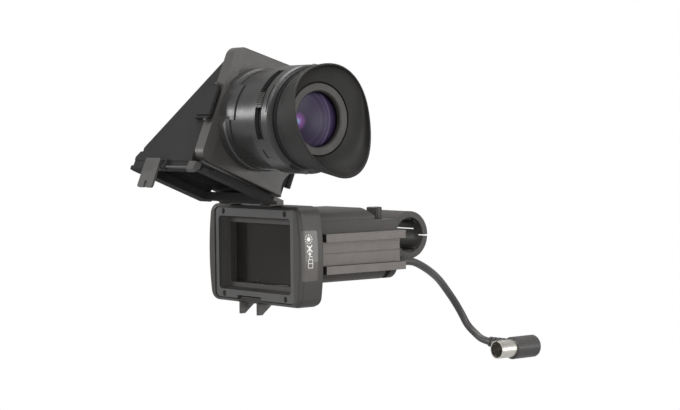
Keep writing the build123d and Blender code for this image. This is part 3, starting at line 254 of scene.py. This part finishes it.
# rubbers
rubberGrain = {
    "bloom": 0.06,
    "bloomRamp": ((0.35, 0.0), (0.75, 1.0)),
    "bloomShare": 0.7,     # of the tone; the fine grain has the rest
    "roughSpread": 0.12,
    "bloomRough": 0.05,
    "bumpDepth": 0.1,
}
rubbers = {
    "cupRubber": {"dark": (28, 27, 26), "light": (40, 38, 37), "grain": 0.8,
                  "rough": 0.52, "bump": 0.2, "shine": 0.3},
    "liner": {"dark": (36, 36, 36), "light": (50, 50, 50), "grain": 0.5,
              "rough": 0.65, "bump": 0.3, "shine": 0.4},
    "sheath": {"dark": (58, 57, 57), "light": (74, 72, 71), "grain": 0.8,
               "rough": 0.36, "bump": 0.06, "shine": 0.45},
}


def rubberLook(name, look, shared):
    # rubber: dusty bloom in soft patches over a dark matt body
    material, wire = newMaterial(name)
    at = place(wire)
    fine = noise(wire, at, 1 / look["grain"], detail=4.0, rough=0.6)
    bloom = noise(wire, at, shared["bloom"], detail=3.0, rough=0.6).steps(*shared["bloomRamp"])
    mixed = bloom * shared["bloomShare"] + fine * (1 - shared["bloomShare"])
    rough = look["rough"] + (fine - 0.5) * shared["roughSpread"] + bloom * shared["bloomRough"]
    return finish(material, wire, Base_Color=mixed.blend(rgb(*look["dark"]), rgb(*look["light"])),
                  Roughness=rough, Normal=bumped(wire, fine, look["bump"], shared["bumpDepth"]),
                  Specular_IOR_Level=look["shine"])


rubber = {name: rubberLook(name, look, rubberGrain) for name, look in rubbers.items()}


# metals
metalGrain = {
    "patch": 0.09,
    "patchRamp": ((0.4, 0.0), (0.7, 1.0)),
    "lineShare": 0.5,      # of the tone; the patches have the rest
    "roughSpread": 0.14,
    "patchRough": 0.06,
    "bumpDepth": 0.04,
}
metals = {
    "anodised": {"dark": (88, 84, 81), "light": (112, 107, 104), "along": (1, 0.06, 1), "lines": 3.0,
                 "rough": 0.42, "metal": 0.55, "bump": 0.25},
    "steel": {"dark": (150, 150, 148), "light": (185, 185, 182), "along": (0.1, 1, 1), "lines": 4.0,
              "rough": 0.3, "metal": 1.0, "bump": 0.2},
    "blackMetal": {"dark": (60, 59, 58), "light": (84, 82, 80), "along": (1, 1, 0.3), "lines": 2.0,
                   "rough": 0.4, "metal": 0.4, "bump": 0.2},
    # darker than the plate: the screws' own dark finish with painted shade of their counterbores
    "screwBlackAndShade": {"dark": (34, 34, 34), "light": (58, 58, 57), "along": (1, 1, 0.3), "lines": 2.0,
                   "rough": 0.3, "metal": 0.7, "bump": 0.2},
    "hingeMetal": {"dark": (68, 65, 63), "light": (90, 87, 84), "along": (0.2, 1, 1), "lines": 2.5,
                   "rough": 0.42, "metal": 0.6, "bump": 0.2},
    "nickel": {"dark": (214, 210, 202), "light": (242, 239, 232), "along": (1, 0.1, 1), "lines": 3.0,
               "rough": 0.3, "metal": 1.0, "bump": 0.05},
    "bronze": {"dark": (140, 112, 66), "light": (176, 142, 88), "along": (1, 0.3, 1), "lines": 3.0,
               "rough": 0.35, "metal": 1.0, "bump": 0.15},
}


def metalLook(name, look, shared):
    # metal: fine lines along one axis, with duller patches
    material, wire = newMaterial(name)
    lines = noise(wire, place(wire, look["along"]), look["lines"], detail=3.0, rough=0.6)
    patch = noise(wire, place(wire), shared["patch"], detail=3.0).steps(*shared["patchRamp"])
    mixed = lines * shared["lineShare"] + patch * (1 - shared["lineShare"])
    rough = look["rough"] + (lines - 0.5) * shared["roughSpread"] + patch * shared["patchRough"]
    return finish(material, wire, Base_Color=mixed.blend(rgb(*look["dark"]), rgb(*look["light"])),
                  Roughness=rough, Metallic=look["metal"],
                  Normal=bumped(wire, lines, look["bump"], shared["bumpDepth"]))


metal = {name: metalLook(name, look, metalGrain) for name, look in metals.items()}


# mirror, screen and its cover
mirrorFace = {"tone": (214, 218, 220), "haze": 0.05, "hazeRamp": ((0.5, 0.02), (0.9, 0.12))}
panel = {"dark": (40, 38, 36), "light": (58, 55, 52), "bloom": 0.03, "rough": 0.16, "roughSpread": 0.06}
coverGlass = {"tone": (60, 57, 54), "smear": 0.08, "smearRamp": ((0.4, 0.08), (0.8, 0.2)), "alpha": 0.35}


def mirrorLook(look):
    material, wire = newMaterial("mirrorFace")
    haze = noise(wire, place(wire), look["haze"], detail=3.0).steps(*look["hazeRamp"])
    return finish(material, wire, Base_Color=rgb(*look["tone"]), Metallic=1.0, Roughness=haze)


def screenLook(look):
    # switched-off panel under its cover: near black with a faint warm bloom
    material, wire = newMaterial("panel")
    bloom = noise(wire, place(wire), look["bloom"])
    tone = bloom.blend(rgb(*look["dark"]), rgb(*look["light"]))
    return finish(material, wire, Base_Color=tone, Roughness=bloom * look["roughSpread"] + look["rough"])


def coverGlassLook(look):
    material, wire = newMaterial("coverGlass")
    smear = noise(wire, place(wire), look["smear"], detail=3.0).steps(*look["smearRamp"])
    return finish(material, wire, Base_Color=rgb(*look["tone"]), Roughness=smear, Alpha=look["alpha"])


# lens
lensLook = {
    "glass": (44, 33, 62),
    # painted reflections: the tone of the arcs, then the pink halo and the blue core of the glint
    "paintedArcReflection": (92, 82, 112),
    "bloom": (150, 92, 170),
    "paintedGlintCore": (150, 186, 226),
    "edge": (12, 10, 14),
    "radius": 18.4,
    # painted reflection arcs bulge away from a point left of the middle; arcScale turns radii into places on
    # their ramp
    "arcCentre": (0, 0.71, 0),
    "arcScale": 0.59,
    "arcs": ((0.52, 0.0), (0.545, 0.25), (0.58, 0.0), (0.67, 0.0), (0.695, 0.55), (0.715, 0.1), (0.765, 0.15),
             (0.79, 0.9), (0.83, 0.0)),
    # the painted glint and the edge ramps run over distances in radii
    "paintedGlintAt": (0, 0.80, 0.06),
    "bloomRamp": ((0.10, 1.0), (0.36, 0.0)),
    "paintedGlintCoreRamp": ((0.02, 1.0), (0.15, 0.0)),
    "edgeRamp": ((0.93, 0.0), (0.99, 1.0)),
    "rough": 0.35,
    "shine": 0.22,
}


def coatedLensPaintedReflections(look, centre):
    # violet coating with painted reflections: soft upright arcs of the lamps in the glasses behind, and a
    # painted blue and pink glint at the left
    material, wire = newMaterial("coatedLensPaintedReflections")
    raw = wire.node("ShaderNodeTexCoord", out=3)
    shift = wire.node("ShaderNodeVectorMath", {"operation": "SUBTRACT"}, {0: raw, 1: tuple(centre)})
    grow = 1 / (look["radius"] * mm)
    flat = wire.node("ShaderNodeVectorMath", {"operation": "MULTIPLY"}, {0: shift, 1: (0, grow, grow)})

    def distance(offset):
        moved = wire.node("ShaderNodeVectorMath", {"operation": "ADD"}, {0: flat, 1: offset})
        return wire.node("ShaderNodeVectorMath", {"operation": "LENGTH"}, {0: moved}, out=1)

    # painted reflection arcs, then the painted glint laid over them
    arcs = (distance(look["arcCentre"]) * look["arcScale"]).steps(*look["arcs"])
    near = distance(look["paintedGlintAt"])
    tone = arcs.blend(rgb(*look["glass"]), rgb(*look["paintedArcReflection"]))
    tone = near.steps(*look["bloomRamp"]).blend(tone, rgb(*look["bloom"]))
    tone = near.steps(*look["paintedGlintCoreRamp"]).blend(tone, rgb(*look["paintedGlintCore"]))
    tone = distance((0, 0, 0)).steps(*look["edgeRamp"]).blend(tone, rgb(*look["edge"]))
    return finish(material, wire, Base_Color=tone, Roughness=look["rough"], Specular_IOR_Level=look["shine"])


# cloudy finishes
lacquer = {"cloud": 0.09, "roughSpread": 0.1, "coat": 0.3}
cloudies = {
    "smokedWindow": {"dark": (70, 66, 63), "light": (92, 88, 84), "rough": 0.4},
    "redLens": {"dark": (110, 14, 12), "light": (150, 24, 20), "rough": 0.2},
    "boardGreen": {"dark": (18, 60, 34), "light": (28, 84, 48), "rough": 0.5},
    "whiteMark": {"dark": (226, 226, 222), "light": (240, 240, 236), "rough": 0.45},
}


def cloudyLook(name, look, shared):
    # lacquered surface with slow clouds in tone and gloss
    material, wire = newMaterial(name)
    cloud = noise(wire, place(wire), shared["cloud"], detail=3.0)
    tone = cloud.blend(rgb(*look["dark"]), rgb(*look["light"]))
    rough = look["rough"] + cloud * shared["roughSpread"]
    return finish(material, wire, Base_Color=tone, Roughness=rough, Coat_Weight=shared["coat"])


cloudy = {name: cloudyLook(name, look, lacquer) for name, look in cloudies.items()}

finishes = {
    plastic["housing"]: ("arm_housing", "arm_cover", "mic_holder_lower", "mic_holder_upper"),
    plastic["head"]: ("head_shell", "rear_cover"),
    plastic["facePlate"]: ("face_plate", "control_panel"),
    plastic["bezel"]: ("screen_bezel", "plug_insert"),
    plastic["hood"]: ("hood_frame", "mirror_box", "grip_strip", "latch_bracket", "door_clip"),
    plastic["door"]: ("eyepiece_door", "latch_hook"),
    plastic["barrel"]: ("eyepiece_barrel", "diopter_ring"),
    plastic["cupBandBlackAndShade"]: ("eyecup_ring", "lens_cell"),
    plastic["lensRing"]: ("lens_annulus",),
    plastic["knob"]: ("brightness_knob", "contrast_knob", "peaking_knob", "display_switch", "tally_switch"),
    rubber["liner"]: ("mic_pad_lower", "mic_pad_upper"),
    rubber["sheath"]: ("cable_gland", "plug_boot", "plug_body"),
    metal["anodised"]: ("shoe_rail",),
    metal["steel"]: ("arm_screws", "hood_pin", "door_pin", "mic_pin", "tilt_ring"),
    metal["screwBlackAndShade"]: ("face_screws",),
    metal["blackMetal"]: ("latch_strap", "latch_keeper", "lock_knob", "tilt_shaft", "door_clip_pin",
                         "latch_rod"),
    metal["hingeMetal"]: ("hinge_blocks",),
    metal["nickel"]: ("plug_shell",),
    metal["bronze"]: ("tilt_bush",),
    mirrorLook(mirrorFace): ("mirror",),
    screenLook(panel): ("display_module",),
    coverGlassLook(coverGlass): ("screen_glass",),
    coatedLensPaintedReflections(lensLook, middle("eye_lens")): ("eye_lens",),
    cloudy["smokedWindow"]: ("indicator_window",),
    cloudy["redLens"]: ("tally_lens",),
    cloudy["boardGreen"]: ("driver_board",),
}


def dress(piece, material):
    if not piece.data.materials:
        piece.data.materials.append(material)
    for pocket in piece.material_slots:
        pocket.material = material


for material, names in finishes.items():
    for name in names:
        dress(nodes[name], material)
print("nodes finished:", sum(map(len, finishes.values())))


# pieces from arrays
def addMesh(name, points, faces, material, body):
    data = bpy.data.meshes.new(name)
    data.from_pydata(points.tolist(), [], faces.tolist())
    data.polygons.foreach_set("use_smooth", np.full(len(data.polygons), True))
    data.update()
    piece = bpy.data.objects.new(name, data)
    bpy.context.scene.collection.objects.link(piece)
    dress(piece, material)
    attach(piece, body)
    return piece


def gridFaces(rows, columns):
    # quads of a grid, one row after the other, whose columns run round and join up
    i = np.arange(rows - 1)[:, None] * columns
    j = np.arange(columns)[None, :]
    k = (j + 1) % columns
    return np.stack([i + j, i + k, i + columns + k, i + columns + j], -1).reshape(-1, 4)


# lead
lead = {
    "diameter": 5.7,
    "route": [
        (-14.0, 46.0, -10.0),
        (-14.0, 53.7, -10.0),
        (-15.0, 62.2, -12.9),
        (-19.4, 73.7, -17.4),
        (-26.5, 85.8, -21.9),
        (-33.6, 97.2, -26.6),
        (-39.6, 107.7, -32.4),
        (-45.1, 119.6, -41.1),
        (-48.8, 128.8, -48.6),
        (-49.0, 135.9, -58.3),
        (-45.9, 138.7, -66.9),
        (-38.9, 141.2, -73.4),
        (-30.9, 141.0, -77.4),
        (-22.0, 141.0, -78.0),
    ],
    "length": 148.9,
    "roundSteps": 6,
    "alongSteps": 16,
}


def addLead(look):
    data = bpy.data.curves.new("leadSheath", "CURVE")
    data.dimensions = "3D"
    data.bevel_depth = look["diameter"] / 2 * mm
    data.bevel_resolution = look["roundSteps"]
    data.resolution_u = look["alongSteps"]
    data.use_fill_caps = True
    line = data.splines.new("NURBS")
    line.points.add(len(look["route"]) - 1)
    flat = np.column_stack([np.array(look["route"]) * mm, np.ones(len(look["route"]))])
    line.points.foreach_set("co", flat.ravel())
    line.order_u = 3
    line.use_endpoint_u = True
    piece = bpy.data.objects.new("leadSheath", data)
    bpy.context.scene.collection.objects.link(piece)
    data.materials.append(rubber["sheath"])
    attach(piece, "arm")
    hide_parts("lead")


addLead(lead)
print("lead laid")


# eyecup
cup = {
    "axis": (-90.983, 95.485),     # y and z of the eye axis
    "shift": -47.0,                # from places along the eyepiece to world x
    "turn": 228.0,                 # where the rim leans furthest forward, from +Y towards +Z
    # place along the axis, radius and lean, at the base, the neck and the rim of each side
    "outside": ((107.4, 33.2, 0.0), (112.5, 34.6, 6.0), (125.4, 38.2, 18.0)),
    "inside": ((109.5, 24.5, 0.0), (114.0, 31.5, 6.0), (125.8, 36.6, 18.0)),
    # waves round the rim: share of the radius, count and the angle of a crest
    "waves": ((0.036, 3, 44.0), (0.014, 4, 45.0)),
    "neck": (0.30, 0.34),          # share of the way at which the neck lies, outside and inside
    "ribs": {"start": 107.6, "end": 112.4, "pitch": 1.6, "depth": 0.25, "rows": 37},
    "columns": 160,
    "rows": 40,
    "lipRows": 9,
}


def cupSide(look, side, neck):
    # parabolas through base, neck and rim, over the share t of the way from base to rim
    t = np.linspace(0, 1, look["rows"])
    marks = np.array(look[side])
    return np.stack([np.polyval(np.polyfit((0, neck, 1), marks[:, k], 2), t) for k in range(3)], 1)


def ribbed(out, ribs):
    # the outside with fine grooves near its base: at place s past the start,
    # r is less by depth times the root of |sin(pi s / pitch)|
    inBand = (out[:, 0] > ribs["start"]) & (out[:, 0] < ribs["end"])
    fine = np.linspace(ribs["start"], ribs["end"], ribs["rows"])
    band = np.stack([np.interp(fine, out[:, 0], out[:, k]) for k in range(3)], 1)
    band[:, 1] -= ribs["depth"] * np.sqrt(np.abs(np.sin(np.pi * (fine - ribs["start"]) / ribs["pitch"])))
    return np.concatenate([out[:1], band, out[~inBand][1:]])


def addCup(look):
    # rows: outside from base to rim, round lip, inside back to the base; each row is a leaning ring
    # x = place + r tan(lean) cos(angle - turn), y = r cos(angle), z = r sin(angle), and towards the rim
    # r swells by the sum of share cos(count (angle - crest))
    out = ribbed(cupSide(look, "outside", look["neck"][0]), look["ribs"])
    back = cupSide(look, "inside", look["neck"][1])[::-1]
    a, b = out[-1], back[0]
    bow = np.linspace(0, np.pi, look["lipRows"])[1:-1, None]
    half = np.hypot(*(a - b)[:2]) / 2
    lip = (a + b) / 2 + (a - b) / 2 * np.cos(bow) + np.array([half, 0, 0]) * np.sin(bow)
    rows = np.concatenate([out, lip, back, out[:1]])
    angle = np.linspace(0, 2 * np.pi, look["columns"], endpoint=False)
    swellFrom, rim = look["ribs"]["end"], look["outside"][2][0]
    grown = np.clip((rows[:, :1] - swellFrom) / (rim - swellFrom), 0, 1)
    swell = sum(share * np.cos(count * (angle - math.radians(crest)))
                for share, count, crest in look["waves"])
    r = rows[:, 1, None] * (1 + grown * swell)
    lean = np.tan(np.radians(rows[:, 2, None])) * r * np.cos(angle - math.radians(look["turn"]))
    x = look["shift"] + rows[:, 0, None] + lean
    y = look["axis"][0] + r * np.cos(angle)
    z = look["axis"][1] + r * np.sin(angle)
    points = np.stack([x, y, z], -1).reshape(-1, 3) * mm
    faces = gridFaces(len(rows), look["columns"])
    piece = addMesh("softCup", points, faces, rubber["cupRubber"], "cup")
    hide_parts("eyecup")


addCup(cup)
print("eyecup drawn")


# signs on the smoked strip: a lamp, a crossed arrow and a battery with its plug
signs = {
    "origin": (-66.75, -0.5),      # y and z from which the middles are measured
    "lift": 0.06,
    "castFrom": 100.0,             # x from which the rays start
    "lamp": {"middle": (6.7, 12.9), "disc": 1.5, "discSides": 24, "rays": 12, "reach": (2.3, 3.5),
             "width": 0.42},
    # strokes: start, end and width, from the sign's middle, y to the right and z up
    "arrow": {
        "middle": (7.3, 5.2),
        "strokes": (((-2.3, 3.6), (2.3, -1.08), 0.75), ((2.3, 3.6), (-2.3, -1.08), 0.75),
                    ((0, 3.24), (0, -2.52), 0.6)),
        "tip": ((-1.5, -1.98), (0, -4.14), (1.5, -1.98)),
    },
    "battery": {
        "middle": (7.9, -4.2),
        "strokes": (((-1.9, -2.9), (1.9, -2.9), 0.45), ((-1.9, -2.9), (-1.9, 2.9), 0.45),
                    ((1.9, -2.9), (1.9, 2.9), 0.45), ((-1.9, 2.9), (1.9, 2.9), 0.45),
                    ((-1.9, 0.2), (1.9, 0.2), 0.45), ((-0.95, 2.9), (-0.95, 5.1), 0.45),
                    ((-0.95, 5.1), (1.33, 5.1), 0.45), ((1.33, 5.1), (1.33, 3.9), 0.45)),
    },
}


def flatBar(a, b, width):
    # a flat bar from a to b as four corners
    a, b = np.array(a), np.array(b)
    along = (b - a) / np.linalg.norm(b - a)
    side = np.array([-along[1], along[0]]) * width / 2
    return np.array([a - side, b - side, b + side, a + side])


def lampShapes(look):
    def circle(count):
        turn = np.linspace(0, 2 * np.pi, count, endpoint=False)
        return np.stack([np.cos(turn), np.sin(turn)], 1)

    disc = look["disc"] * circle(look["discSides"])
    inner, outer = look["reach"]
    rays = [flatBar(way * inner, way * outer, look["width"]) for way in circle(look["rays"])]
    return [shape + look["middle"] for shape in (disc, *rays)]


def strokeShapes(look):
    shapes = [flatBar(*stroke) for stroke in look["strokes"]]
    if "tip" in look:
        shapes.append(np.array(look["tip"]))
    return [shape + look["middle"] for shape in shapes]


def addSigns(look):
    # each outline becomes one flat face laid on the strip, found by rays along -x
    strip = nodes["indicator_window"]
    shapes = lampShapes(look["lamp"]) + strokeShapes(look["arrow"]) + strokeShapes(look["battery"])
    points, faces = [], []
    for shape in shapes:
        faces.append(list(range(len(points), len(points) + len(shape))))
        for y, z in (shape + look["origin"]) * mm:
            found = strip.ray_cast(Vector((look["castFrom"] * mm, y, z)), Vector((-1, 0, 0)))[1]
            points.append((found.x + look["lift"] * mm, y, z))
    data = bpy.data.meshes.new("stripSigns")
    data.from_pydata(points, [], faces)
    data.update()
    piece = bpy.data.objects.new("stripSigns", data)
    bpy.context.scene.collection.objects.link(piece)
    dress(piece, cloudy["whiteMark"])
    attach(piece, "head")


addSigns(signs)
print("signs laid")


# floor, backdrop and lamps
studio = {
    "floorDrop": 0.11,     # below the object's lowest point
    "floorSize": 14.0,
    "floorTone": 0.3,      # for light that bounces off it
    "floorGleam": 0.3,     # how white it looks in reflections
    "shadowRamp": ((0.02, 0.8), (0.09, 1.0)),
    "world": 0.42,
    "aim": (0, -0.05, 0.04),
    "lamps": {
        "key": {"place": (0.5, -1.6, 1.9), "size": 1.5, "power": 38},
        "side": {"place": (2.2, 0.5, 0.9), "size": 1.3, "power": 20},
        "top": {"place": (-0.3, 0.2, 2.2), "size": 2.0, "power": 40},
        "right": {"place": (1.5, 1.15, -0.02), "size": 0.7, "power": 7.5},
        "front": {"place": (0.9, -1.2, 0.02), "size": 0.5, "power": 5},
        "left": {"place": (-1.5, -1.25, 0.42), "size": 0.4, "power": 7},
    },
}


def floorLook(look):
    # white where the camera sees it, apart from a soft shade under the object, and grey to bounced light
    material, wire = newMaterial("paleFloor")
    tree = wire.tree
    raw = wire.node("ShaderNodeTexCoord", out=3)
    away = wire.node("ShaderNodeVectorMath", {"operation": "LENGTH"}, {0: raw}, out=1)
    seen = wire.node("ShaderNodeLightPath", out=0)
    shiny = wire.node("ShaderNodeLightPath", out=3)
    white = seen.maths("MAXIMUM", seen, shiny * look["floorGleam"]) * away.steps(*look["shadowRamp"])
    plain = tree.nodes.new("ShaderNodeBsdfDiffuse")
    plain.inputs["Color"].default_value = (look["floorTone"],) * 3 + (1,)
    glow = tree.nodes.new("ShaderNodeEmission")
    mix = tree.nodes.new("ShaderNodeMixShader")
    tree.links.new(white.socket, mix.inputs[0])
    tree.links.new(plain.outputs[0], mix.inputs[1])
    tree.links.new(glow.outputs[0], mix.inputs[2])
    end = tree.nodes.new("ShaderNodeOutputMaterial")
    tree.links.new(mix.outputs[0], end.inputs["Surface"])
    return material


def addFloor(look):
    low, high = cadBox
    half = look["floorSize"] / 2
    corners = [(-half, -half, 0), (half, -half, 0), (half, half, 0), (-half, half, 0)]
    data = bpy.data.meshes.new("floor")
    data.from_pydata(corners, [], [(0, 1, 2, 3)])
    data.materials.append(floorLook(look))
    floor = bpy.data.objects.new("floor", data)
    floor.location = ((low[0] + high[0]) / 2, (low[1] + high[1]) / 2, low[2] - look["floorDrop"])
    bpy.context.scene.collection.objects.link(floor)


def addWorld(strength):
    # full white to the camera, and dimmer as a light
    world = bpy.data.worlds.new("studio")
    bpy.context.scene.world = world
    world.use_nodes = True
    wire = Wire(world.node_tree)
    world.node_tree.nodes.clear()
    seen = wire.node("ShaderNodeLightPath", out=0)
    level = seen * (1 - strength) + strength
    glow = wire.node("ShaderNodeBackground", {}, {"Color": (1, 1, 1, 1), "Strength": level})
    end = world.node_tree.nodes.new("ShaderNodeOutputWorld")
    world.node_tree.links.new(glow.socket, end.inputs["Surface"])


def addLamp(name, look, target):
    data = bpy.data.lights.new(name, "AREA")
    data.shape = "DISK"
    data.size = look["size"]
    data.energy = look["power"]
    lamp = bpy.data.objects.new(name, data)
    lamp.location = look["place"]
    lamp.rotation_euler = (target - lamp.location).to_track_quat("-Z", "Y").to_euler()
    bpy.context.scene.collection.objects.link(lamp)


addFloor(studio)
addWorld(studio["world"])
for name, look in studio["lamps"].items():
    addLamp(name, look, Vector(studio["aim"]))
bpy.context.scene.view_settings.view_transform = "Standard"
print("studio lit")
